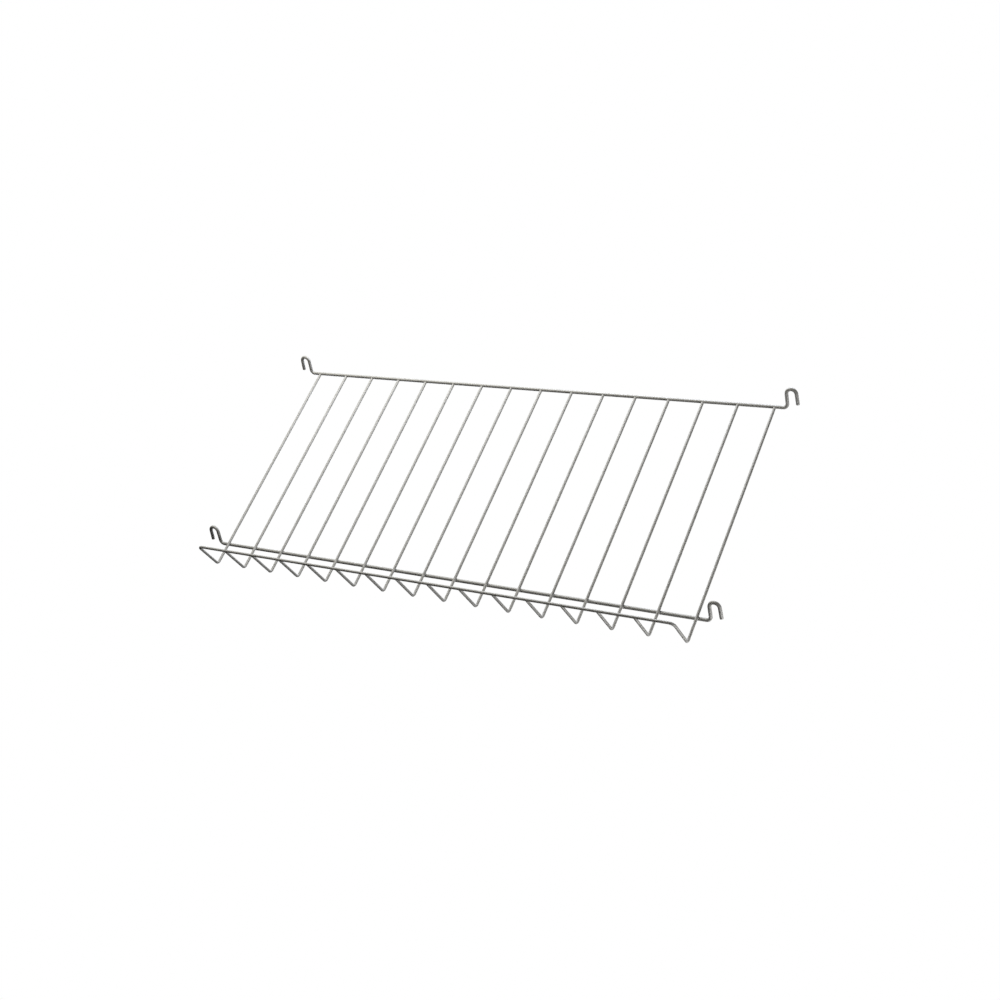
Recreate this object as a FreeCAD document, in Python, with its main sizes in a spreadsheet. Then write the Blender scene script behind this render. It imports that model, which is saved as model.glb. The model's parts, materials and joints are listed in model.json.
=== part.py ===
import FreeCAD, Part
import math
import os
import Sketcher

# Sloping wire shelf that hangs by four hooks between two side ladders.
# Millimetres, +X to the right along the rails, +Y to the wall, +Z up, origin at the centre of the box.

# Driving dimensions: alias, value, meaning
SIZES = [
    ("hook_spacing", 580.0, "left rung seat to right rung seat"),
    ("hook_mouth", 6.4, "clear width between the two legs of a hook"),
    ("hook_height", 19.0, "rail axis to the wire axis at the top of the hook"),
    ("hook_tip_height", 3.7, "rail axis to the cut tip of the outer leg"),
    ("hook_splay", 0.5, "how far the tip stands outside the upright"),
    ("hook_bend", 4.4, "wire axis radius where the rail turns up"),
    ("rail_diameter", 3.4, "wire of the two rails"),
    ("rail_distance", 228.2, "rear rail axis to front rail axis, along the slope"),
    ("slope", 28.0, "degrees between the slats and the level"),
    ("wire_diameter", 2.7, "wire of the slats and the frame"),
    ("slat_count", 14, "slats between the two sides of the frame wire"),
    ("end_margin", 12.7, "end slat axis to the inner leg of the hook"),
    ("frame_ease", 0.9, "extra width of the gap beside each end slat"),
    ("front_overhang", 25.5, "front rail axis to the nose corner, along the slope"),
    ("nose_bend", 3.2, "wire axis radius of the nose"),
    ("lip_height", 36.2, "slat axis to lip axis, square to the slats"),
    ("lip_lean", 3.5, "degrees the arms lean out from square"),
    ("corner_bend", 5.2, "wire axis radius where the arms turn into the lip"),
    ("weld_depth", 0.4, "how far the wires are pressed into each other at a weld"),
]

# Derived sizes, as expressions on the sheet
LEAN = "Sizes.lip_lean * 1 deg"
SLOPE = "Sizes.slope * 1 deg"
WIRE_RADIUS = "Sizes.wire_diameter / 2"
RAIL_RADIUS = "Sizes.rail_diameter / 2"
HOOK_RADIUS = "(Sizes.hook_mouth + Sizes.rail_diameter) / 2"
FRAME_HALF = f"(Sizes.hook_spacing / 2 - {HOOK_RADIUS} - Sizes.end_margin)"
SLAT_PITCH = f"(2 * ({FRAME_HALF} - Sizes.frame_ease) / (Sizes.slat_count + 1))"

# Places from the rear rail axis: down the slope along the slat axes, and up square to them.
# The slats butt against the rear rail and lie on the front rail, which is that much lower.
REAR_END = f"({RAIL_RADIUS} - Sizes.weld_depth)"
RAIL_DROP = f"({RAIL_RADIUS} + {WIRE_RADIUS} - Sizes.weld_depth)"
NOSE_DOWN = "(Sizes.rail_distance + Sizes.front_overhang)"
LIP_DOWN = f"({NOSE_DOWN} + Sizes.lip_height * tan({LEAN}))"
LIP_UP = "Sizes.lip_height"
ARM_LENGTH = f"(Sizes.lip_height / cos({LEAN}))"
BEND_DOWN = f"({NOSE_DOWN} - Sizes.nose_bend * tan((90 deg - {LEAN}) / 2))"
BEND_UP = "Sizes.nose_bend"

# Reach of the shelf from the rear rail axis, which sets the centre of its box
REACH_BACK = RAIL_RADIUS
REACH_FRONT = f"({LIP_DOWN} * cos({SLOPE}) + {LIP_UP} * sin({SLOPE}) + {WIRE_RADIUS})"
REACH_UP = f"(Sizes.hook_height + {RAIL_RADIUS})"
REACH_DOWN = f"({BEND_DOWN} * sin({SLOPE}) - {BEND_UP} * cos({SLOPE}) + Sizes.nose_bend + {WIRE_RADIUS})"
RAIL_Y = f"(({REACH_FRONT} - {REACH_BACK}) / 2)"
RAIL_Z = f"(({REACH_DOWN} - {REACH_UP}) / 2)"

# Round seats where a wire is pressed onto another: name, diameter, place from the rear rail axis
RAIL_SEATS = [
    ("rear", "Sizes.rail_diameter", "0", "0"),
    ("front", "Sizes.rail_diameter", "-Sizes.rail_distance", f"-{RAIL_DROP}"),
]
LIP_SEAT = ("lip", "Sizes.wire_diameter", f"-{LIP_DOWN}", LIP_UP)

# Sketch ids of the origin point, and of the start, end and centre of a curve
ORIGIN = (-1, 1)
START, END, CENTRE = range(1, 4)


def make_sheet(doc):
    """Put the driving dimensions in a spreadsheet, one aliased cell each."""
    sheet = doc.addObject("Spreadsheet::Sheet", "Sizes")
    for row, (alias, value, meaning) in enumerate(SIZES, start=1):
        sheet.set(f"A{row}", meaning)
        sheet.set(f"B{row}", str(value))
        sheet.setAlias(f"B{row}", alias)
    doc.recompute()
    return sheet


def origin_plane(body, role):
    """Return one of the body's own origin planes."""
    return next(plane for plane in body.Origin.OriginFeatures if plane.Role == role)


def new_sketch(body, name, role):
    """Add a sketch to the body on one of its origin planes."""
    sketch = body.newObject("Sketcher::SketchObject", name)
    sketch.AttachmentSupport = [(origin_plane(body, role), "")]
    sketch.MapMode = "FlatFace"
    return sketch


def point(x, y):
    """Return a point of a sketch."""
    return FreeCAD.Vector(x, y, 0)


def add_line(sketch, start, end):
    """Add a line to the sketch and return its id."""
    return sketch.addGeometry(Part.LineSegment(point(*start), point(*end)))


def add_arc(sketch, centre, radius, from_degrees, to_degrees):
    """Add an arc to the sketch and return its id."""
    circle = Part.Circle(point(*centre), FreeCAD.Vector(0, 0, 1), radius)
    arc = Part.ArcOfCircle(circle, math.radians(from_degrees), math.radians(to_degrees))
    return sketch.addGeometry(arc)


def tie(sketch, kind, *where):
    """Add a constraint that needs no size."""
    return sketch.addConstraint(Sketcher.Constraint(kind, *where))


def number(item, expression):
    """Return an expression's value, in millimetres or degrees."""
    size = item.evalExpression(expression)
    return getattr(size, "Value", size)


def bind(sketch, name, expression, kind, *where):
    """Add a named constraint and bind its size to an expression."""
    value = number(sketch, expression)
    if kind == "Angle":
        value = math.radians(value)
    index = sketch.addConstraint(Sketcher.Constraint(kind, *where, value))
    sketch.renameConstraint(index, name)
    sketch.setExpression(f"Constraints.{name}", expression)


def add_circle(sketch, name, diameter, right="0", up="0"):
    """Add a circle whose diameter and place in the sketch are bound to expressions."""
    x = number(sketch, right)
    y = number(sketch, up)
    centre = point(x, y)
    radius = number(sketch, diameter) / 2
    circle = sketch.addGeometry(Part.Circle(centre, FreeCAD.Vector(0, 0, 1), radius))
    bind(sketch, f"{name}_diameter", diameter, "Diameter", circle)
    for axis, place, offset, in_line in (("X", right, x, "Vertical"), ("Y", up, y, "Horizontal")):
        if offset == 0:
            tie(sketch, in_line, *ORIGIN, circle, CENTRE)
        elif offset > 0:
            bind(sketch, f"{name}_{axis}", place, f"Distance{axis}", *ORIGIN, circle, CENTRE)
        else:
            bind(sketch, f"{name}_{axis}", f"-({place})", f"Distance{axis}", circle, CENTRE, *ORIGIN)


def add_pipe(body, name, profile, path):
    """Sweep a profile sketch along all edges of a path sketch."""
    body.Document.recompute()
    pipe = body.newObject("PartDesign::AdditivePipe", name)
    pipe.Profile = profile
    edges = [f"Edge{index}" for index in range(1, len(path.Shape.Edges) + 1)]
    pipe.Spine = (path, edges)
    body.Document.recompute()
    return pipe


def mirror_half(body, name, originals):
    """Mirror features across the middle of the shelf."""
    mirrored = body.newObject("PartDesign::Mirrored", name)
    mirrored.Originals = originals
    mirrored.MirrorPlane = (origin_plane(body, "YZ_Plane"), [""])
    body.Tip = mirrored
    body.Document.recompute()
    return mirrored


def cut_seats(body, name, length, circles):
    """Cut round seats along X, where this wire is pressed onto other wires."""
    before = body.Shape.Volume
    seats = new_sketch(body, f"{name}_seats", "YZ_Plane")
    for circle, diameter, right, up in circles:
        add_circle(seats, circle, diameter, right, up)
    pocket = body.newObject("PartDesign::Pocket", name)
    pocket.Profile = seats
    pocket.SideType = "Symmetric"
    pocket.setExpression("Length", length)
    body.Document.recompute()
    if not body.Shape.Volume < before:
        raise RuntimeError(f"{body.Label}: the seats cut nothing")


def new_body(doc, label):
    """Add an empty body for one wire."""
    body = doc.addObject("PartDesign::Body", label)
    body.Label = label
    return body


def set_place(body, y, z):
    """Bind the body's place across the shelf."""
    body.setExpression("Placement.Base.y", y)
    body.setExpression("Placement.Base.z", z)


def lean_back(body):
    """Turn a body that is drawn with level slats up to the slope."""
    turn = FreeCAD.Rotation(FreeCAD.Vector(1, 0, 0), number(body, SLOPE))
    body.Placement = FreeCAD.Placement(FreeCAD.Vector(), turn)
    body.setExpression("Placement.Rotation.Angle", SLOPE)


def draw_hook_path(sketch):
    """Draw half a rail's axis: mid-length, bend, inner leg, crown, outer leg with its cut tip."""
    seat_x = number(sketch, "Sizes.hook_spacing / 2")
    crown = number(sketch, HOOK_RADIUS)
    bend = number(sketch, "Sizes.hook_bend")
    crown_z = number(sketch, f"Sizes.hook_height - {HOOK_RADIUS}")
    tip_z = number(sketch, "Sizes.hook_tip_height")
    splay = number(sketch, "Sizes.hook_splay")
    leg_x = seat_x - crown

    run = add_line(sketch, (0, 0), (leg_x - bend, 0))
    turn = add_arc(sketch, (leg_x - bend, bend), bend, -90, 0)
    inner = add_line(sketch, (leg_x, bend), (leg_x, crown_z))
    arch = add_arc(sketch, (seat_x, crown_z), crown, 0, 180)
    outer = add_line(sketch, (seat_x + crown, crown_z), (seat_x + crown + splay, tip_z))

    tie(sketch, "Coincident", run, START, *ORIGIN)
    tie(sketch, "Horizontal", run)
    tie(sketch, "Vertical", inner)
    tie(sketch, "Tangent", run, END, turn, START)
    tie(sketch, "Tangent", turn, END, inner, START)
    tie(sketch, "Tangent", inner, END, arch, END)
    tie(sketch, "Tangent", arch, START, outer, START)
    bind(sketch, "bend", "Sizes.hook_bend", "Radius", turn)
    bind(sketch, "crown", HOOK_RADIUS, "Radius", arch)
    bind(sketch, "seat", "Sizes.hook_spacing / 2", "DistanceX", *ORIGIN, arch, CENTRE)
    bind(sketch, "top", f"Sizes.hook_height - {HOOK_RADIUS}", "DistanceY", *ORIGIN, arch, CENTRE)
    bind(sketch, "tip", "Sizes.hook_tip_height", "DistanceY", *ORIGIN, outer, END)
    bind(sketch, "splay", f"{HOOK_RADIUS} + Sizes.hook_splay", "DistanceX", arch, CENTRE, outer, END)


def draw_slat_path(sketch, arm_left):
    """Draw a slat's axis with the slat level: rear end, nose bend, arm that ends short of the lip axis."""
    rear_end = number(sketch, REAR_END)
    bend = number(sketch, "Sizes.nose_bend")
    bend_down = number(sketch, BEND_DOWN)
    bend_up = number(sketch, BEND_UP)
    lean = number(sketch, LEAN)
    arm_down = f"({LIP_DOWN} - ({arm_left}) * sin({LEAN}))"
    arm_up = f"({LIP_UP} - ({arm_left}) * cos({LEAN}))"
    foot = (
        -bend_down - bend * math.cos(math.radians(lean)),
        bend_up - bend * math.sin(math.radians(lean)),
    )

    slat = add_line(sketch, (-rear_end, 0), (-bend_down, 0))
    nose = add_arc(sketch, (-bend_down, bend_up), bend, 180 + lean, 270)
    arm = add_line(sketch, foot, (-number(sketch, arm_down), number(sketch, arm_up)))

    tie(sketch, "Horizontal", slat)
    tie(sketch, "Horizontal", *ORIGIN, slat, START)
    tie(sketch, "Tangent", slat, END, nose, END)
    tie(sketch, "Tangent", nose, START, arm, START)
    bind(sketch, "nose", "Sizes.nose_bend", "Radius", nose)
    bind(sketch, "rear_end", REAR_END, "DistanceX", slat, START, *ORIGIN)
    bind(sketch, "arm_down", arm_down, "DistanceX", arm, END, *ORIGIN)
    bind(sketch, "arm_up", arm_up, "DistanceY", *ORIGIN, arm, END)
    bind(sketch, "lean", f"90 deg + {LEAN}", "Angle", arm)


def draw_lip_path(sketch):
    """Draw half the lip's axis in the plane of the arms: mid-length, straight run, rounded corner."""
    half = number(sketch, FRAME_HALF)
    arm = number(sketch, ARM_LENGTH)
    bend = number(sketch, "Sizes.corner_bend")

    run = add_line(sketch, (0, arm), (half - bend, arm))
    corner = add_arc(sketch, (half - bend, arm - bend), bend, 0, 90)

    tie(sketch, "Horizontal", run)
    tie(sketch, "Vertical", *ORIGIN, run, START)
    tie(sketch, "Tangent", run, END, corner, END)
    bind(sketch, "corner", "Sizes.corner_bend", "Radius", corner)
    bind(sketch, "arm", ARM_LENGTH, "DistanceY", *ORIGIN, run, START)
    bind(sketch, "half", FRAME_HALF, "DistanceX", *ORIGIN, corner, START)
    bind(sketch, "corner_end", f"{ARM_LENGTH} - Sizes.corner_bend", "DistanceY", *ORIGIN, corner, START)


def make_rail(doc, label, y, z):
    """Make one rail with a hook at each end."""
    body = new_body(doc, label)
    path = new_sketch(body, f"{label}_path", "XZ_Plane")
    draw_hook_path(path)
    profile = new_sketch(body, f"{label}_profile", "YZ_Plane")
    add_circle(profile, "wire", "Sizes.rail_diameter")
    half = add_pipe(body, f"{label}_half", profile, path)
    mirror_half(body, f"{label}_both", [half])
    set_place(body, y, z)
    return body


def slat_profile(body, name, x="0"):
    """Draw the wire section at a slat's rear end."""
    profile = new_sketch(body, name, "XZ_Plane")
    profile.setExpression("AttachmentOffset.Base.z", REAR_END)
    add_circle(profile, "wire", "Sizes.wire_diameter", x)
    return profile


def make_slat(doc, number_from_left):
    """Make one inner slat, butted on the rear rail, seated on the front rail and butted under the lip."""
    label = f"slat_{number_from_left:02d}"
    body = new_body(doc, label)
    path = new_sketch(body, f"{label}_path", "YZ_Plane")
    draw_slat_path(path, f"{WIRE_RADIUS} - Sizes.weld_depth")
    profile = slat_profile(body, f"{label}_profile")
    add_pipe(body, f"{label}_wire", profile, path)
    cut_seats(body, f"{label}_welds", "2 * Sizes.wire_diameter", RAIL_SEATS + [LIP_SEAT])
    lean_back(body)
    set_place(body, RAIL_Y, RAIL_Z)
    pitches_from_middle = f"({number_from_left} - (Sizes.slat_count + 1) / 2)"
    body.setExpression("Placement.Base.x", f"{pitches_from_middle} * {SLAT_PITCH}")
    return body


def make_frame(doc):
    """Make the frame wire: both end slats, their arms and the lip, from one half and its mirror image."""
    label = "frame_wire"
    body = new_body(doc, label)

    side_path = new_sketch(body, f"{label}_side_path", "YZ_Plane")
    side_path.setExpression("AttachmentOffset.Base.z", FRAME_HALF)
    draw_slat_path(side_path, "Sizes.corner_bend")
    side_profile = slat_profile(body, f"{label}_side_profile", FRAME_HALF)
    side = add_pipe(body, f"{label}_side", side_profile, side_path)

    lip_path = new_sketch(body, f"{label}_lip_path", "XZ_Plane")
    lean = FreeCAD.Rotation(FreeCAD.Vector(1, 0, 0), number(lip_path, LEAN))
    lip_path.AttachmentOffset = FreeCAD.Placement(FreeCAD.Vector(), lean)
    lip_path.setExpression("AttachmentOffset.Rotation.Angle", LEAN)
    lip_path.setExpression("AttachmentOffset.Base.z", NOSE_DOWN)
    draw_lip_path(lip_path)
    lip_profile = new_sketch(body, f"{label}_lip_profile", "YZ_Plane")
    add_circle(lip_profile, "wire", "Sizes.wire_diameter", f"-{LIP_DOWN}", LIP_UP)
    lip = add_pipe(body, f"{label}_lip", lip_profile, lip_path)

    mirror_half(body, f"{label}_both", [side, lip])
    cut_seats(body, f"{label}_welds", "Sizes.hook_spacing", RAIL_SEATS)
    lean_back(body)
    set_place(body, RAIL_Y, RAIL_Z)
    return body


def check_document(doc, bodies):
    """Stop if any object failed, or any wire isn't one valid solid."""
    for item in doc.Objects:
        if "Invalid" in item.State or "Error" in item.State:
            raise RuntimeError(f"{item.Label} failed: {item.State}")
    for body in bodies:
        shape = body.Shape
        if shape.isNull() or not shape.isValid() or len(shape.Solids) != 1:
            raise RuntimeError(f"{body.Label} isn't one valid solid")


def main():
    """Build the shelf and write one file per wire."""
    doc = FreeCAD.newDocument("WireShelf")
    sheet = make_sheet(doc)
    front_y = f"{RAIL_Y} - Sizes.rail_distance * cos({SLOPE}) + {RAIL_DROP} * sin({SLOPE})"
    front_z = f"{RAIL_Z} - Sizes.rail_distance * sin({SLOPE}) - {RAIL_DROP} * cos({SLOPE})"
    bodies = [
        make_rail(doc, "rear_rail", RAIL_Y, RAIL_Z),
        make_rail(doc, "front_rail", front_y, front_z),
        make_frame(doc),
    ]
    for number_from_left in range(1, int(sheet.slat_count) + 1):
        bodies.append(make_slat(doc, number_from_left))
    doc.recompute()
    check_document(doc, bodies)

    os.makedirs("parts", exist_ok=True)
    for body in bodies:
        body.Shape.exportStep(f"parts/{body.Label}.step")


main()
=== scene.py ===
"""Sloping wire shelf: smooth bent wires, weld fillets, powder coat and a white studio."""
import json
import math

import bmesh
import bpy
from bpy.props import FloatProperty, FloatVectorProperty, IntProperty, PointerProperty
from mathutils import Matrix, Vector

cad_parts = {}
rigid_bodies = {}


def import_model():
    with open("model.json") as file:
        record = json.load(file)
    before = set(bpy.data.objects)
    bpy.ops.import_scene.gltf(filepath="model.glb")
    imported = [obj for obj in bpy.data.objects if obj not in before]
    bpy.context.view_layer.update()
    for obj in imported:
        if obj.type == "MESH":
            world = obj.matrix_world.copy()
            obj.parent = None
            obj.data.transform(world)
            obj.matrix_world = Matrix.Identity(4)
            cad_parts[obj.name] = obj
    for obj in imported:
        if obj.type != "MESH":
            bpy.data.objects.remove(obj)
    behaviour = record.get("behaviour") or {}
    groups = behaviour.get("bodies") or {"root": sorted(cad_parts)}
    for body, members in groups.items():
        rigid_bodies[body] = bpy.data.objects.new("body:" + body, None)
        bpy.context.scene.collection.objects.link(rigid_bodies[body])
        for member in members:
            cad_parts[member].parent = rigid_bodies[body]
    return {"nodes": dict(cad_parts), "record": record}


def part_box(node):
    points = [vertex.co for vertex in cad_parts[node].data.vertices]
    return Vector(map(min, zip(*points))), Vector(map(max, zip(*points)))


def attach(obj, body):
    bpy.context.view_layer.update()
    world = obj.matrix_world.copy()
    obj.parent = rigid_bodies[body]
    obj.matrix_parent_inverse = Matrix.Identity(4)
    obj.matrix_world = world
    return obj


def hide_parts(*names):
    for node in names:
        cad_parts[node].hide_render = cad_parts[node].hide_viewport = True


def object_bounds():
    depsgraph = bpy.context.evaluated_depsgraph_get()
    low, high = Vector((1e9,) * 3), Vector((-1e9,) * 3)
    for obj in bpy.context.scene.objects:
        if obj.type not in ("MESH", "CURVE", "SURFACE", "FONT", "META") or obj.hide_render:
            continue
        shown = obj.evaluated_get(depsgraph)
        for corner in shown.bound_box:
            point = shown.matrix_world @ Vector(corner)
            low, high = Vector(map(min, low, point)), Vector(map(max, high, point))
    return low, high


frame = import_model()
CAD_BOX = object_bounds()

bl_info = {
    "name": "Wire Shelf",
    "version": (1, 0, 0),
    "blender": (4, 5, 0),
    "location": "View3D > Sidebar > Wire Shelf",
    "description": "Builds the wires of a sloping hook-on shelf, their coat and a white studio",
    "category": "Add Mesh",
}

BODY = "root"
SEATS = {mount["name"]: Vector(mount["pos_m"]) for mount in frame["record"]["mounts"]}
SLAT_NODES = sorted(node for node in frame["nodes"] if node.startswith("slat_"))
ALONG = Vector((1, 0, 0))
X_AXIS = 0
Y_AXIS = 1

# Names of the node groups
WIRE_TREE = "Welded Wire"
COAT_TEXTURE = "Coat Texture"

# Weld fillets, in the order in which a weld point picks them
RAIL_FILLET = 0
END_FILLET = 1
LIP_FILLET = 2
NO_FILLET = -1

# Sections round a weld fillet, rows of faces in its arc, and the angle from which its edges are sharp
FILLET_SECTIONS = 48
FILLET_STEPS = 6
SHARP_ANGLE = math.radians(50)

# Rows of faces round the edge of a cut tip
TIP_STEPS = 5

# An arm is as thick as the lip that it ends on, so its fillet is drawn round this share of it
ARM_SHARE = 0.97

# Share of a hook's crown that its two bends take, which leaves a short straight between them
CROWN_SHARE = 0.98

# Detail of the coat's two noises, and the middle of a noise
MOTTLE_DETAIL = 3.0
PEEL_DETAIL = 2.0
NOISE_MIDDLE = 0.5


def node_width(node, axis):
    """Return a node's width along one axis, to a tenth of a millimetre."""
    low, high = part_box(node)
    return round(high[axis] - low[axis], 4)


class ShelfSizes(bpy.types.PropertyGroup):
    """Wire sizes and bends of the shelf."""

    rail_diameter: FloatProperty(
        name="Rail Wire",
        description="Thickness of the two cross rails",
        default=node_width("rear_rail", Y_AXIS),
        unit="LENGTH",
    )
    wire_diameter: FloatProperty(
        name="Slat Wire",
        description="Thickness of the slats and the frame wire",
        default=node_width(SLAT_NODES[0], X_AXIS),
        unit="LENGTH",
    )
    hook_mouth: FloatProperty(
        name="Hook Mouth",
        description="Clear width between the two legs of a hook",
        default=0.0064,
        unit="LENGTH",
    )
    hook_height: FloatProperty(
        name="Hook Height",
        description="Rail axis to the wire axis at the top of the hook",
        default=0.019,
        unit="LENGTH",
    )
    hook_tip_height: FloatProperty(
        name="Hook Tip",
        description="Rail axis to the cut tip of the outer leg",
        default=0.0037,
        unit="LENGTH",
    )
    hook_splay: FloatProperty(
        name="Hook Splay",
        description="How far the tip stands outside the upright",
        default=0.0005,
        unit="LENGTH",
    )
    hook_bend: FloatProperty(
        name="Hook Bend",
        description="Wire axis radius where the rail turns up",
        default=0.0044,
        unit="LENGTH",
    )
    front_overhang: FloatProperty(
        name="Front Overhang",
        description="Front rail axis to the nose corner, along the slope",
        default=0.0255,
        unit="LENGTH",
    )
    nose_bend: FloatProperty(
        name="Nose Bend",
        description="Wire axis radius of the nose",
        default=0.0032,
        unit="LENGTH",
    )
    lip_height: FloatProperty(
        name="Lip Height",
        description="Slat axis to lip axis, square to the slats",
        default=0.0362,
        unit="LENGTH",
    )
    lip_lean: FloatProperty(
        name="Lip Lean",
        description="How far the arms lean out from square",
        default=math.radians(3.5),
        subtype="ANGLE",
    )
    corner_bend: FloatProperty(
        name="Corner Bend",
        description="Wire axis radius where the arms turn into the lip",
        default=0.0052,
        unit="LENGTH",
    )
    weld_depth: FloatProperty(
        name="Weld Depth",
        description="How far the wires are pressed into each other at a weld",
        default=0.0004,
        unit="LENGTH",
    )
    weld_fillet: FloatProperty(
        name="Weld Fillet",
        description="Radius of the coated fillet round a weld",
        default=0.0006,
        unit="LENGTH",
    )
    tip_round: FloatProperty(
        name="Tip Round",
        description="Edge radius of a cut and coated wire tip",
        default=0.0004,
        unit="LENGTH",
    )
    wire_sides: IntProperty(
        name="Wire Sides",
        description="Faces round a wire",
        default=24,
        min=8,
    )
    bend_steps: IntProperty(
        name="Bend Steps",
        description="Rows of faces along a bend",
        default=12,
        min=3,
    )


class ShelfFinish(bpy.types.PropertyGroup):
    """Colour and surface of the coat."""

    coat_colour: FloatVectorProperty(
        name="Coat Colour",
        description="Warm grey of the powder coat",
        default=(0.36, 0.355, 0.337),
        subtype="COLOR",
        min=0,
        max=1,
    )
    coat_contrast: FloatProperty(
        name="Coat Contrast",
        description="How much the tone wanders along a wire",
        default=0.18,
    )
    mottle_size: FloatProperty(
        name="Mottle Size",
        description="Length over which the tone wanders",
        default=0.018,
        unit="LENGTH",
    )
    roughness: FloatProperty(
        name="Roughness",
        description="Mean roughness of the satin coat",
        default=0.42,
    )
    weld_roughness: FloatProperty(
        name="Weld Roughness",
        description="Roughness where the coat has run into a weld",
        default=0.34,
    )
    # Painted shade: the coat is drawn this much darker in the crease of each weld
    weld_crease_shade: FloatProperty(
        name="Weld Shade",
        description="How much darker the thick coat in a weld is",
        default=0.04,
    )
    gloss_index: FloatProperty(
        name="Gloss Index",
        description="Refractive index of the coat",
        default=1.5,
    )
    # Painted shade: the ripples' tone follows their height, darker in the hollows and lighter on the
    # crests
    peel_shade_contrast: FloatProperty(
        name="Peel Contrast",
        description="How much the tone changes over a ripple",
        default=0.16,
    )
    peel_size: FloatProperty(
        name="Peel Size",
        description="Width of the orange peel ripples",
        default=0.0009,
        unit="LENGTH",
    )
    peel_height: FloatProperty(
        name="Peel Height",
        description="Height of the orange peel ripples",
        default=0.00006,
        unit="LENGTH",
    )


class ShelfStudio(bpy.types.PropertyGroup):
    """Camera, light and floor."""

    eye: FloatVectorProperty(
        name="Eye",
        description="Place of the camera",
        default=(0.81191, -1.05207, 0.62951),
        subtype="TRANSLATION",
        unit="LENGTH",
    )
    yaw: FloatProperty(
        name="Yaw",
        description="Turn of the camera to the left",
        default=math.radians(36.637),
        subtype="ANGLE",
    )
    pitch: FloatProperty(
        name="Pitch",
        description="How far the camera looks down",
        default=math.radians(26.114),
        subtype="ANGLE",
    )
    roll: FloatProperty(
        name="Roll",
        description="Turn of the camera about its own view",
        default=math.radians(-11.210),
        subtype="ANGLE",
    )
    lens: FloatProperty(
        name="Lens",
        description="Focal length on a 36 mm sensor, in millimetres",
        default=53.878,
    )
    overhead_power: FloatProperty(
        name="Overhead",
        description="Power of the softbox over the left half",
        default=7.63,
        unit="POWER",
    )
    back_power: FloatProperty(
        name="Back",
        description="Power of the softbox behind the rear rail",
        default=4.41,
        unit="POWER",
    )
    right_power: FloatProperty(
        name="Right Bounce",
        description="Power of the low reflector on the right",
        default=4.25,
        unit="POWER",
    )
    left_power: FloatProperty(
        name="Left Bounce",
        description="Power of the low reflector at the rear left",
        default=2.77,
        unit="POWER",
    )
    corner_power: FloatProperty(
        name="Corner Bounce",
        description="Power of the small reflector near the front right hook",
        default=0.45,
        unit="POWER",
    )
    room_tint: FloatVectorProperty(
        name="Room Tint",
        description="Warm tint of the light from overhead",
        default=(1.017, 1.0, 0.939),
        subtype="COLOR",
        min=0,
        max=2,
    )
    window_tint: FloatVectorProperty(
        name="Window Tint",
        description="Cool tint of the light from behind",
        default=(0.95, 1.0, 1.16),
        subtype="COLOR",
        min=0,
        max=2,
    )
    bounce_tint: FloatVectorProperty(
        name="Bounce Tint",
        description="Tint of the light from the reflectors on the right",
        default=(1.0, 1.0, 1.0),
        subtype="COLOR",
        min=0,
        max=2,
    )
    floor_size: FloatProperty(
        name="Floor Size",
        description="Width of the white floor",
        default=40.0,
        unit="LENGTH",
    )
    floor_gap: FloatProperty(
        name="Floor Gap",
        description="Clear height of the hanging shelf over the floor",
        default=0.002,
        unit="LENGTH",
    )


class ShelfSettings(bpy.types.PropertyGroup):
    """All that a user may change."""

    sizes: PointerProperty(type=ShelfSizes)
    finish: PointerProperty(type=ShelfFinish)
    studio: PointerProperty(type=ShelfStudio)


class ShelfPlane:
    """Places from the rear rail axis: along the rails, down the slats, and up square to the slats.

    The slats end on the rear rail and lie on the front rail, whose axis is rail_drop under theirs.
    """

    def __init__(self, sizes):
        seat_up = sizes.hook_height - sizes.rail_diameter / 2
        rear_seat = SEATS["rear_left_hook"]
        front_seat = SEATS["front_left_hook"]
        self.seat_x = SEATS["rear_right_hook"].x
        self.rear_axis = Vector((0, rear_seat.y, rear_seat.z - seat_up))
        self.front_axis = Vector((0, front_seat.y, front_seat.z - seat_up))
        run = self.front_axis - self.rear_axis
        self.rail_drop = (sizes.rail_diameter + sizes.wire_diameter) / 2 - sizes.weld_depth
        self.rail_distance = math.sqrt(run.length_squared - self.rail_drop ** 2)
        self.slope = math.atan2(-run.z, -run.y) - math.asin(self.rail_drop / run.length)
        self.down = Vector((0, -math.cos(self.slope), -math.sin(self.slope)))
        self.up = self.down.cross(ALONG)
        self.nose_down = self.rail_distance + sizes.front_overhang
        self.lip_down = self.nose_down + sizes.lip_height * math.tan(sizes.lip_lean)
        self.lip_up = sizes.lip_height
        self.frame_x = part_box("frame_wire")[1].x - sizes.wire_diameter / 2

    def at(self, x, down, up):
        """Return a place in the row frame."""
        return self.rear_axis + ALONG * x + self.down * down + self.up * up

    def rail_welds(self, x):
        """Return the two weld points of a slat on the rails: place, fillet and tilt."""
        rear = self.at(x, 0, 0)
        front = self.at(x, self.rail_distance, -self.rail_drop)
        return [(rear, END_FILLET, self.slope - math.pi / 2), (front, RAIL_FILLET, self.slope)]


def add_node(tree, kind, **settings):
    """Add a node to a tree and set its options."""
    node = tree.nodes.new(kind)
    for name, value in settings.items():
        setattr(node, name, value)
    return node


def add_group(name, kind, sockets):
    """Add a node group with its sockets and return it, what it is given and what it results in."""
    group = bpy.data.node_groups.new(name, kind)
    for socket, direction, socket_kind in sockets:
        group.interface.new_socket(socket, in_out=direction, socket_type=socket_kind)
    given = add_node(group, "NodeGroupInput").outputs
    result = add_node(group, "NodeGroupOutput").inputs
    return group, given, result


def named_attribute(tree, name, data_type):
    """Add a node that reads an attribute and return its output."""
    node = add_node(tree, "GeometryNodeInputNamedAttribute", data_type=data_type)
    node.inputs["Name"].default_value = name
    return node.outputs["Attribute"]


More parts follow.
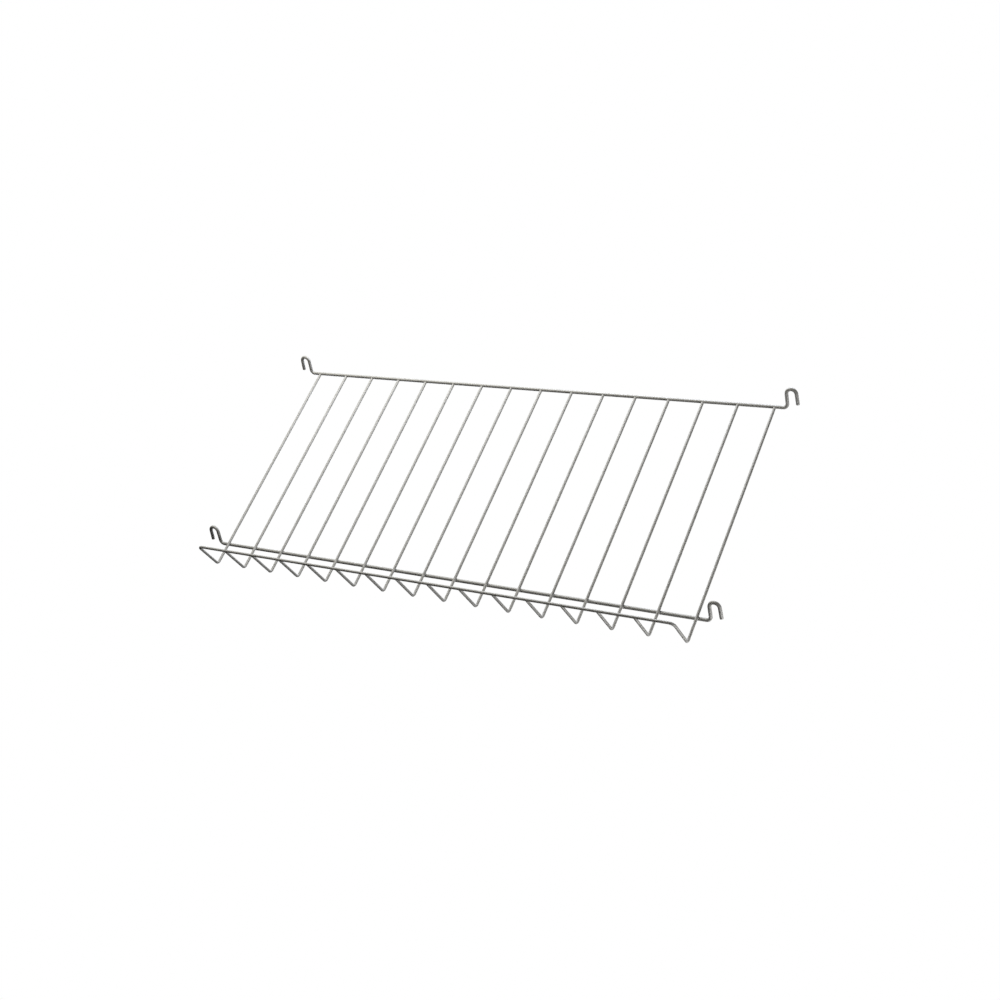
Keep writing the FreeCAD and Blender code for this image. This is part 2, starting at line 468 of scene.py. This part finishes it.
def wire_tree():
    """Build the tree that bends a wire along its corners and sets fillets on its weld points."""
    sockets = (
        ("Corners", "INPUT", "NodeSocketGeometry"),
        ("Wire Radius", "INPUT", "NodeSocketFloat"),
        ("Wire Sides", "INPUT", "NodeSocketInt"),
        ("Bend Steps", "INPUT", "NodeSocketInt"),
        ("Fillets", "INPUT", "NodeSocketCollection"),
        ("Coat", "INPUT", "NodeSocketMaterial"),
        ("Wire", "OUTPUT", "NodeSocketGeometry"),
    )
    tree, given, result = add_group(WIRE_TREE, "GeometryNodeTree", sockets)
    link = tree.links.new

    # Wire along the corners, each bent to its own radius
    path = add_node(tree, "GeometryNodeMeshToCurve")
    link(given["Corners"], path.inputs["Mesh"])
    bent = add_node(tree, "GeometryNodeFilletCurve", mode="POLY")
    link(path.outputs["Curve"], bent.inputs["Curve"])
    link(given["Bend Steps"], bent.inputs["Count"])
    link(named_attribute(tree, "bend", "FLOAT"), bent.inputs["Radius"])
    section = add_node(tree, "GeometryNodeCurvePrimitiveCircle", mode="RADIUS")
    link(given["Wire Sides"], section.inputs["Resolution"])
    link(given["Wire Radius"], section.inputs["Radius"])
    wire = add_node(tree, "GeometryNodeCurveToMesh")
    wire.inputs["Fill Caps"].default_value = True
    link(bent.outputs["Curve"], wire.inputs["Curve"])
    link(section.outputs["Curve"], wire.inputs["Profile Curve"])
    link(named_attribute(tree, "swell", "FLOAT"), wire.inputs["Scale"])

    # Fillets on the weld points
    is_weld = add_node(tree, "FunctionNodeCompare", data_type="INT", operation="GREATER_THAN")
    fillet_number = named_attribute(tree, "fillet", "INT")
    compared = [socket for socket in is_weld.inputs if socket.type == "INT"]
    link(fillet_number, compared[0])
    compared[1].default_value = NO_FILLET
    fillets = add_node(tree, "GeometryNodeCollectionInfo")
    fillets.inputs["Separate Children"].default_value = True
    link(given["Fillets"], fillets.inputs["Collection"])
    turn = add_node(tree, "FunctionNodeAxisAngleToRotation")
    turn.inputs["Axis"].default_value = ALONG
    link(named_attribute(tree, "tilt", "FLOAT"), turn.inputs["Angle"])
    welds = add_node(tree, "GeometryNodeInstanceOnPoints")
    welds.inputs["Pick Instance"].default_value = True
    link(given["Corners"], welds.inputs["Points"])
    link(is_weld.outputs["Result"], welds.inputs["Selection"])
    link(fillets.outputs["Instances"], welds.inputs["Instance"])
    link(fillet_number, welds.inputs["Instance Index"])
    link(turn.outputs["Rotation"], welds.inputs["Rotation"])

    # One plain mesh
    joined = add_node(tree, "GeometryNodeJoinGeometry")
    link(welds.outputs["Instances"], joined.inputs["Geometry"])
    link(wire.outputs["Mesh"], joined.inputs["Geometry"])
    real = add_node(tree, "GeometryNodeRealizeInstances")
    link(joined.outputs["Geometry"], real.inputs["Geometry"])
    smooth = add_node(tree, "GeometryNodeSetShadeSmooth")
    link(real.outputs["Geometry"], smooth.inputs["Geometry"])
    coated = add_node(tree, "GeometryNodeSetMaterial")
    link(smooth.outputs["Geometry"], coated.inputs["Geometry"])
    link(given["Coat"], coated.inputs["Material"])
    link(coated.outputs["Geometry"], result["Wire"])
    return tree


def tip_steps(radius, tip_round):
    """Return rows from a cut tip to the full wire: distance from the tip and share of the radius."""
    rows = []
    for step in range(TIP_STEPS + 1):
        angle = math.pi / 2 * step / TIP_STEPS
        distance = tip_round * (1 - math.cos(angle))
        share = 1 - tip_round / radius * (1 - math.sin(angle))
        rows.append((distance, share))
    return rows


def path_mesh(name, corners, welds, radius, tip_round):
    """Make the mesh that the wire tree reads.

    Its corners are joined in a line and carry their bends, and its weld points are loose.
    """
    first, last = corners[0][0], corners[-1][0]
    into_first = (corners[1][0] - first).normalized()
    into_last = (corners[-2][0] - last).normalized()
    steps = tip_steps(radius, tip_round)
    rows = [(first + into_first * distance, 0.0, share) for distance, share in steps]
    rows += [(place, bend, 1.0) for place, bend in corners[1:-1]]
    rows += [(last + into_last * distance, 0.0, share) for distance, share in reversed(steps)]
    edges = [(index, index + 1) for index in range(len(rows) - 1)]

    mesh = bpy.data.meshes.new(name)
    places = [row[0] for row in rows] + [weld[0] for weld in welds]
    mesh.from_pydata(places, edges, [])
    columns = {
        "bend": ("FLOAT", [row[1] for row in rows] + [0.0] * len(welds)),
        "swell": ("FLOAT", [row[2] for row in rows] + [1.0] * len(welds)),
        "fillet": ("INT", [NO_FILLET] * len(rows) + [weld[1] for weld in welds]),
        "tilt": ("FLOAT", [0.0] * len(rows) + [weld[2] for weld in welds]),
    }
    for column, (kind, values) in columns.items():
        mesh.attributes.new(column, kind, "POINT").data.foreach_set("value", values)
    return mesh


def fillet_arc(crease, centre, start, end, fillet):
    """Return a section: its point on the crease, then its arc about a centre from start to end."""
    points = [crease]
    for step in range(FILLET_STEPS + 1):
        points.append(centre + start.slerp(end, step / FILLET_STEPS) * fillet)
    return points


def crossing_section(lower, upper, distance, fillet, angle):
    """Return one section of the fillet between two crossed wires, as a ball would roll round them.

    The lower wire lies along X through the origin, the upper one along Y at the given distance up Z.
    The arc runs from the lower wire to the upper one.
    """
    def ball_centre(radius):
        to_lower = lower + radius
        to_upper = upper + radius
        dip = to_lower + to_upper - distance
        side = math.cos(angle) * math.sqrt(dip * (2 * to_upper - dip * math.cos(angle) ** 2))
        ahead = math.sin(angle) * math.sqrt(dip * (2 * to_lower - dip * math.sin(angle) ** 2))
        return Vector((side, ahead, to_lower - dip * math.sin(angle) ** 2))

    centre = ball_centre(fillet)
    on_lower = Vector((0, -centre.y, -centre.z)).normalized()
    on_upper = Vector((-centre.x, 0, distance - centre.z)).normalized()
    return fillet_arc(ball_centre(0), centre, on_lower, on_upper, fillet)


def butt_section(through, ending, fillet, angle):
    """Return one section of the fillet round a wire that ends on another one.

    The wire that runs through lies along X through the origin, and the other comes up to it along Z.
    The arc runs from the wire that runs through to the one that ends.
    """
    def ball_centre(radius):
        across = ending + radius
        ahead = across * math.sin(angle)
        below = math.sqrt((through + radius) ** 2 - ahead ** 2)
        return Vector((across * math.cos(angle), ahead, -below))

    centre = ball_centre(fillet)
    on_through = Vector((0, -centre.y, -centre.z)).normalized()
    on_ending = Vector((-centre.x, -centre.y, 0)).normalized()
    return fillet_arc(ball_centre(0), centre, on_through, on_ending, fillet)


def ring_object(name, sections):
    """Join sections into a ring, with its hidden edges left sharp.

    The weld attribute is 1 in the middle of the fillet and fades to 0 on the wires.
    """
    shape = bmesh.new()
    weld = shape.verts.layers.float.new("weld")
    loops = [[shape.verts.new(point) for point in section] for section in sections]
    for loop in loops:
        for step, vertex in enumerate(loop[1:]):
            vertex[weld] = math.sin(math.pi * step / FILLET_STEPS)
    for index, here in enumerate(loops):
        following = loops[(index + 1) % len(loops)]
        for corner in range(len(here)):
            other = (corner + 1) % len(here)
            face = shape.faces.new((here[corner], here[other], following[other], following[corner]))
            face.smooth = True
    bmesh.ops.recalc_face_normals(shape, faces=shape.faces)
    for edge in shape.edges:
        if len(edge.link_faces) == 2 and edge.calc_face_angle() > SHARP_ANGLE:
            edge.smooth = False
    mesh = bpy.data.meshes.new(name)
    shape.to_mesh(mesh)
    shape.free()
    return bpy.data.objects.new(name, mesh)


def fillet_collection(sizes):
    """Make the three kinds of weld fillet, in a collection of their own that the wires pick from."""
    rail = sizes.rail_diameter / 2
    wire = sizes.wire_diameter / 2
    distance = rail + wire - sizes.weld_depth
    fillet = sizes.weld_fillet
    turns = [2 * math.pi * step / FILLET_SECTIONS for step in range(FILLET_SECTIONS)]
    kinds = {
        RAIL_FILLET: [crossing_section(rail, wire, distance, fillet, angle) for angle in turns],
        END_FILLET: [butt_section(rail, wire, fillet, angle) for angle in turns],
        LIP_FILLET: [butt_section(wire, ARM_SHARE * wire, fillet, angle) for angle in turns],
    }
    collection = bpy.data.collections.new("weld_fillets")
    bpy.context.scene.collection.children.link(collection)
    for number, sections in kinds.items():
        collection.objects.link(ring_object(f"fillet_{number}", sections))
    return collection


def remove_fillets(collection):
    """Delete the fillet samples once the wires hold their own copies."""
    for sample in list(collection.objects):
        bpy.data.meshes.remove(sample.data)
    bpy.data.collections.remove(collection)


def add_wire(context, name, corners, welds, diameter, nodes):
    """Bend one wire, make it a plain mesh and let it stand for its CAD nodes."""
    settings = context.scene.wire_shelf
    sizes = settings.sizes
    radius = diameter / 2
    tree = bpy.data.node_groups.get(WIRE_TREE) or wire_tree()
    fillets = fillet_collection(sizes)
    corner_mesh = path_mesh(f"{name}_corners", corners, welds, radius, sizes.tip_round)
    piece = bpy.data.objects.new(name, corner_mesh)
    context.scene.collection.objects.link(piece)
    modifier = piece.modifiers.new(WIRE_TREE, "NODES")
    modifier.node_group = tree
    values = {
        "Wire Radius": radius,
        "Wire Sides": sizes.wire_sides,
        "Bend Steps": sizes.bend_steps,
        "Fillets": fillets,
        "Coat": powder_coat(settings.finish),
    }
    inputs = [item for item in tree.interface.items_tree if item.in_out == "INPUT"]
    identifiers = {item.name: item.identifier for item in inputs}
    for socket, value in values.items():
        modifier[identifiers[socket]] = value

    depsgraph = context.evaluated_depsgraph_get()
    mesh = bpy.data.meshes.new_from_object(piece.evaluated_get(depsgraph))
    mesh.name = name
    piece.modifiers.clear()
    piece.data = mesh
    bpy.data.meshes.remove(corner_mesh)
    remove_fillets(fillets)
    if not mesh.polygons:
        raise RuntimeError(f"{name} came out empty")
    for attribute in ("bend", "swell", "fillet", "tilt"):
        if attribute in mesh.attributes:
            mesh.attributes.remove(mesh.attributes[attribute])
    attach(piece, BODY)
    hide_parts(*nodes)


def coat_texture_group():
    """Build the shader group that gives a coat its wandering tone and its ripples, at any size."""
    sockets = (
        ("Place", "INPUT", "NodeSocketVector"),
        ("Size", "INPUT", "NodeSocketFloat"),
        ("Detail", "INPUT", "NodeSocketFloat"),
        ("Contrast", "INPUT", "NodeSocketFloat"),
        ("Tone", "OUTPUT", "NodeSocketFloat"),
        ("Height", "OUTPUT", "NodeSocketFloat"),
    )
    group, given, result = add_group(COAT_TEXTURE, "ShaderNodeTree", sockets)
    link = group.links.new
    scaled = add_node(group, "ShaderNodeVectorMath", operation="DIVIDE")
    link(given["Place"], scaled.inputs[0])
    link(given["Size"], scaled.inputs[1])
    noise = add_node(group, "ShaderNodeTexNoise")
    noise.inputs["Scale"].default_value = 1
    link(scaled.outputs["Vector"], noise.inputs["Vector"])
    link(given["Detail"], noise.inputs["Detail"])
    centred = add_node(group, "ShaderNodeMath", operation="SUBTRACT")
    centred.inputs[1].default_value = NOISE_MIDDLE
    link(noise.outputs["Fac"], centred.inputs[0])
    tone = add_node(group, "ShaderNodeMath", operation="MULTIPLY_ADD")
    tone.inputs[2].default_value = 1
    link(centred.outputs["Value"], tone.inputs[0])
    link(given["Contrast"], tone.inputs[1])
    # Tone and height come from one noise, so a tone used with its height is painted shade on the
    # ripples
    link(tone.outputs["Value"], result["Tone"])
    link(noise.outputs["Fac"], result["Height"])
    return group


def place_texture(tree, place, size, detail, contrast):
    """Place the coat texture in a material with its own values and return its outputs."""
    node = add_node(tree, "ShaderNodeGroup")
    node.node_tree = bpy.data.node_groups.get(COAT_TEXTURE) or coat_texture_group()
    node.inputs["Size"].default_value = size
    node.inputs["Detail"].default_value = detail
    node.inputs["Contrast"].default_value = contrast
    tree.links.new(place, node.inputs["Place"])
    return node.outputs


def multiply(tree, first, second):
    """Add a node that multiplies two values and return its output."""
    node = add_node(tree, "ShaderNodeMath", operation="MULTIPLY")
    tree.links.new(first, node.inputs[0])
    tree.links.new(second, node.inputs[1])
    return node.outputs["Value"]


def ramp(tree, share, start, end):
    """Add a node that runs from start to end as a share runs from 0 to 1 and return its output."""
    node = add_node(tree, "ShaderNodeMapRange")
    node.inputs["To Min"].default_value = start
    node.inputs["To Max"].default_value = end
    tree.links.new(share, node.inputs["Value"])
    return node.outputs["Result"]


def powder_coat(finish):
    """Return the satin warm grey powder coat, smoother in the welds and with painted shade in their
    creases.
    """
    name = "warm_grey_powder_coat"
    if name in bpy.data.materials:
        return bpy.data.materials[name]
    material = bpy.data.materials.new(name)
    material.use_nodes = True
    tree = material.node_tree
    link = tree.links.new
    shader = tree.nodes["Principled BSDF"]
    shader.inputs["IOR"].default_value = finish.gloss_index
    place = add_node(tree, "ShaderNodeTexCoord").outputs["Object"]
    mottle = place_texture(tree, place, finish.mottle_size, MOTTLE_DETAIL, finish.coat_contrast)
    # The ripples' tone is painted shade: darker in their hollows, lighter on their crests
    peel = place_texture(tree, place, finish.peel_size, PEEL_DETAIL, finish.peel_shade_contrast)
    weld = add_node(tree, "ShaderNodeAttribute", attribute_name="weld").outputs["Fac"]

    # Tone: the wandering tone, the painted shade of the ripples, and painted shade in the crease of
    # each weld
    # Painted shade, darkest in the middle of each weld fillet, where the wires meet
    painted_crease_shade = ramp(tree, weld, 1, 1 - finish.weld_crease_shade)
    tone = multiply(tree, multiply(tree, mottle["Tone"], peel["Tone"]), painted_crease_shade)
    colour = add_node(tree, "ShaderNodeVectorMath", operation="SCALE")
    colour.inputs[0].default_value = finish.coat_colour
    link(tone, colour.inputs["Scale"])
    link(colour.outputs["Vector"], shader.inputs["Base Color"])

    # Gloss: satin, smoother where the coat is thick
    smoothed = ramp(tree, weld, finish.roughness, finish.weld_roughness)
    link(multiply(tree, smoothed, mottle["Tone"]), shader.inputs["Roughness"])

    # Ripples of the baked powder
    bump = add_node(tree, "ShaderNodeBump")
    bump.inputs["Distance"].default_value = finish.peel_height
    link(peel["Height"], bump.inputs["Height"])
    link(bump.outputs["Normal"], shader.inputs["Normal"])
    return material


class RailsOperator(bpy.types.Operator):
    """Bend the two cross rails, with a hook at each end"""

    bl_idname = "wire_shelf.rails"
    bl_label = "Cross Rails"

    def execute(self, context):
        sizes = context.scene.wire_shelf.sizes
        plane = ShelfPlane(sizes)
        for node, axis in (("rear_rail", plane.rear_axis), ("front_rail", plane.front_axis)):
            half = self.hook_corners(sizes, plane.seat_x)
            corners = [(axis + Vector((-x, 0, z)), bend) for x, z, bend in half]
            corners += [(axis + Vector((x, 0, z)), bend) for x, z, bend in reversed(half)]
            add_wire(context, f"{node}_wire", corners, [], sizes.rail_diameter, [node])
        return {"FINISHED"}

    @staticmethod
    def hook_corners(sizes, seat_x):
        """Return one hook's corners from its tip: distance from mid-length, height and bend radius."""
        crown = (sizes.hook_mouth + sizes.rail_diameter) / 2
        crown_up = sizes.hook_height - crown
        tip_out = crown + sizes.hook_splay
        tip_below = crown_up - sizes.hook_tip_height
        splay = math.acos(crown / math.hypot(tip_out, tip_below)) - math.atan2(tip_below, tip_out)
        outer = seat_x + crown * math.tan((math.pi / 2 - splay) / 2)
        inner = seat_x - crown
        arch = CROWN_SHARE * crown
        return [
            (seat_x + tip_out, sizes.hook_tip_height, 0),
            (outer, sizes.hook_height, arch),
            (inner, sizes.hook_height, arch),
            (inner, 0, sizes.hook_bend),
        ]


class FrameWireOperator(bpy.types.Operator):
    """Bend the frame wire: both end slats, their arms and the lip"""

    bl_idname = "wire_shelf.frame_wire"
    bl_label = "Frame Wire"

    def execute(self, context):
        sizes = context.scene.wire_shelf.sizes
        plane = ShelfPlane(sizes)
        side = [
            (0, 0, 0),
            (plane.nose_down, 0, sizes.nose_bend),
            (plane.lip_down, plane.lip_up, sizes.corner_bend),
        ]
        corners = [(plane.at(-plane.frame_x, down, up), bend) for down, up, bend in side]
        corners += [(plane.at(plane.frame_x, down, up), bend) for down, up, bend in reversed(side)]
        welds = plane.rail_welds(-plane.frame_x) + plane.rail_welds(plane.frame_x)
        add_wire(context, "frame_wire_bent", corners, welds, sizes.wire_diameter, ["frame_wire"])
        return {"FINISHED"}


class SlatsOperator(bpy.types.Operator):
    """Bend the slats between the two sides of the frame wire, with their ends hidden in the welds"""

    bl_idname = "wire_shelf.slats"
    bl_label = "Slats"

    def execute(self, context):
        sizes = context.scene.wire_shelf.sizes
        plane = ShelfPlane(sizes)
        for node in SLAT_NODES:
            low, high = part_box(node)
            x = (low.x + high.x) / 2
            lip = plane.at(x, plane.lip_down, plane.lip_up)
            corners = [
                (plane.at(x, 0, 0), 0),
                (plane.at(x, plane.nose_down, 0), sizes.nose_bend),
                (lip, 0),
            ]
            lip_weld = (lip, LIP_FILLET, plane.slope + sizes.lip_lean)
            welds = plane.rail_welds(x) + [lip_weld]
            add_wire(context, f"{node}_wire", corners, welds, sizes.wire_diameter, [node])
        return {"FINISHED"}


def add_camera(context, studio):
    """Add the camera at the photograph's viewing angle."""
    data = bpy.data.cameras.new("camera")
    data.lens = studio.lens
    camera = bpy.data.objects.new("camera", data)
    level = Matrix.Rotation(studio.yaw, 4, "Z") @ Matrix.Rotation(math.pi / 2 - studio.pitch, 4, "X")
    camera.matrix_world = Matrix.Translation(studio.eye) @ level @ Matrix.Rotation(studio.roll, 4, "Z")
    context.scene.collection.objects.link(camera)
    context.scene.camera = camera


def add_floor(context, studio):
    """Add a plain white floor just under the shelf, which lights nothing and is clear from below."""
    half = studio.floor_size / 2
    height = CAD_BOX[0].z - studio.floor_gap
    corners = ((-half, -half), (half, -half), (half, half), (-half, half))
    mesh = bpy.data.meshes.new("floor")
    mesh.from_pydata([(x, y, height) for x, y in corners], [], [(0, 1, 2, 3)])
    floor = bpy.data.objects.new("floor", mesh)
    material = bpy.data.materials.new("white_floor")
    material.use_nodes = True
    tree = material.node_tree
    tree.nodes.clear()
    link = tree.links.new
    white = add_node(tree, "ShaderNodeEmission")
    clear = add_node(tree, "ShaderNodeBsdfTransparent")
    side = add_node(tree, "ShaderNodeNewGeometry")
    either = add_node(tree, "ShaderNodeMixShader")
    output = add_node(tree, "ShaderNodeOutputMaterial")
    link(side.outputs["Backfacing"], either.inputs["Fac"])
    link(white.outputs["Emission"], either.inputs[1])
    link(clear.outputs["BSDF"], either.inputs[2])
    link(either.outputs["Shader"], output.inputs["Surface"])
    mesh.materials.append(material)
    floor.visible_diffuse = False
    floor.visible_glossy = False
    floor.visible_shadow = False
    context.scene.collection.objects.link(floor)


def add_softbox(context, name, place, width, power, tint):
    """Add a square softbox that faces the middle of the shelf and stays out of the picture."""
    data = bpy.data.lights.new(name, "AREA")
    data.shape = "SQUARE"
    data.size = width
    data.energy = power
    data.color = tint
    softbox = bpy.data.objects.new(name, data)
    softbox.location = place
    softbox.rotation_euler = Vector(place).to_track_quat("Z", "Y").to_euler()
    softbox.visible_camera = False
    context.scene.collection.objects.link(softbox)


def add_world(context):
    """Show plain white behind the shelf, and leave the light to the softboxes."""
    world = bpy.data.worlds.new("studio")
    context.scene.world = world
    world.use_nodes = True
    tree = world.node_tree
    tree.nodes.clear()
    white = add_node(tree, "ShaderNodeBackground")
    white.inputs["Color"].default_value = (1, 1, 1, 1)
    path = add_node(tree, "ShaderNodeLightPath")
    output = add_node(tree, "ShaderNodeOutputWorld")
    tree.links.new(path.outputs["Is Camera Ray"], white.inputs["Strength"])
    tree.links.new(white.outputs["Background"], output.inputs["Surface"])


class StudioOperator(bpy.types.Operator):
    """Set up the camera, the soft light and the white floor"""

    bl_idname = "wire_shelf.studio"
    bl_label = "Studio"

    def execute(self, context):
        studio = context.scene.wire_shelf.studio
        add_camera(context, studio)
        add_floor(context, studio)
        add_world(context)
        softboxes = (
            ("overhead_softbox", (-0.2, 0.1, 0.6), 0.8, studio.overhead_power, studio.room_tint),
            ("back_softbox", (0, 0.5, 0.35), 0.5, studio.back_power, studio.window_tint),
            ("right_reflector", (0.8, -0.1, -0.4), 0.6, studio.right_power, studio.bounce_tint),
            ("left_reflector", (-0.8, 0.6, -0.4), 0.5, studio.left_power, studio.window_tint),
            ("corner_reflector", (0.52, -0.25, -0.3), 0.2, studio.corner_power, studio.bounce_tint),
        )
        for name, place, width, power, tint in softboxes:
            add_softbox(context, name, place, width, power, tint)
        context.scene.view_settings.view_transform = "Standard"
        return {"FINISHED"}


class ShelfPanel(bpy.types.Panel):
    """Lists the steps that build the shelf"""

    bl_idname = "VIEW3D_PT_wire_shelf"
    bl_label = "Wire Shelf"
    bl_space_type = "VIEW_3D"
    bl_region_type = "UI"
    bl_category = "Wire Shelf"

    def draw(self, context):
        for operator in (RailsOperator, FrameWireOperator, SlatsOperator, StudioOperator):
            self.layout.operator(operator.bl_idname)
        settings = context.scene.wire_shelf
        for group in (settings.sizes, settings.finish, settings.studio):
            box = self.layout.box()
            for name in group.__annotations__:
                box.prop(group, name)


CLASSES = (
    ShelfSizes,
    ShelfFinish,
    ShelfStudio,
    ShelfSettings,
    RailsOperator,
    FrameWireOperator,
    SlatsOperator,
    StudioOperator,
    ShelfPanel,
)


def register():
    """Register the classes and hang the settings on the scene."""
    for item in CLASSES:
        bpy.utils.register_class(item)
    bpy.types.Scene.wire_shelf = PointerProperty(type=ShelfSettings)


def unregister():
    """Take the settings and the classes away again."""
    del bpy.types.Scene.wire_shelf
    for item in reversed(CLASSES):
        bpy.utils.unregister_class(item)


def main():
    """Build the shelf and its studio."""
    register()
    bpy.ops.wire_shelf.rails()
    bpy.ops.wire_shelf.frame_wire()
    bpy.ops.wire_shelf.slats()
    bpy.ops.wire_shelf.studio()


if __name__ == "__main__":
    main()
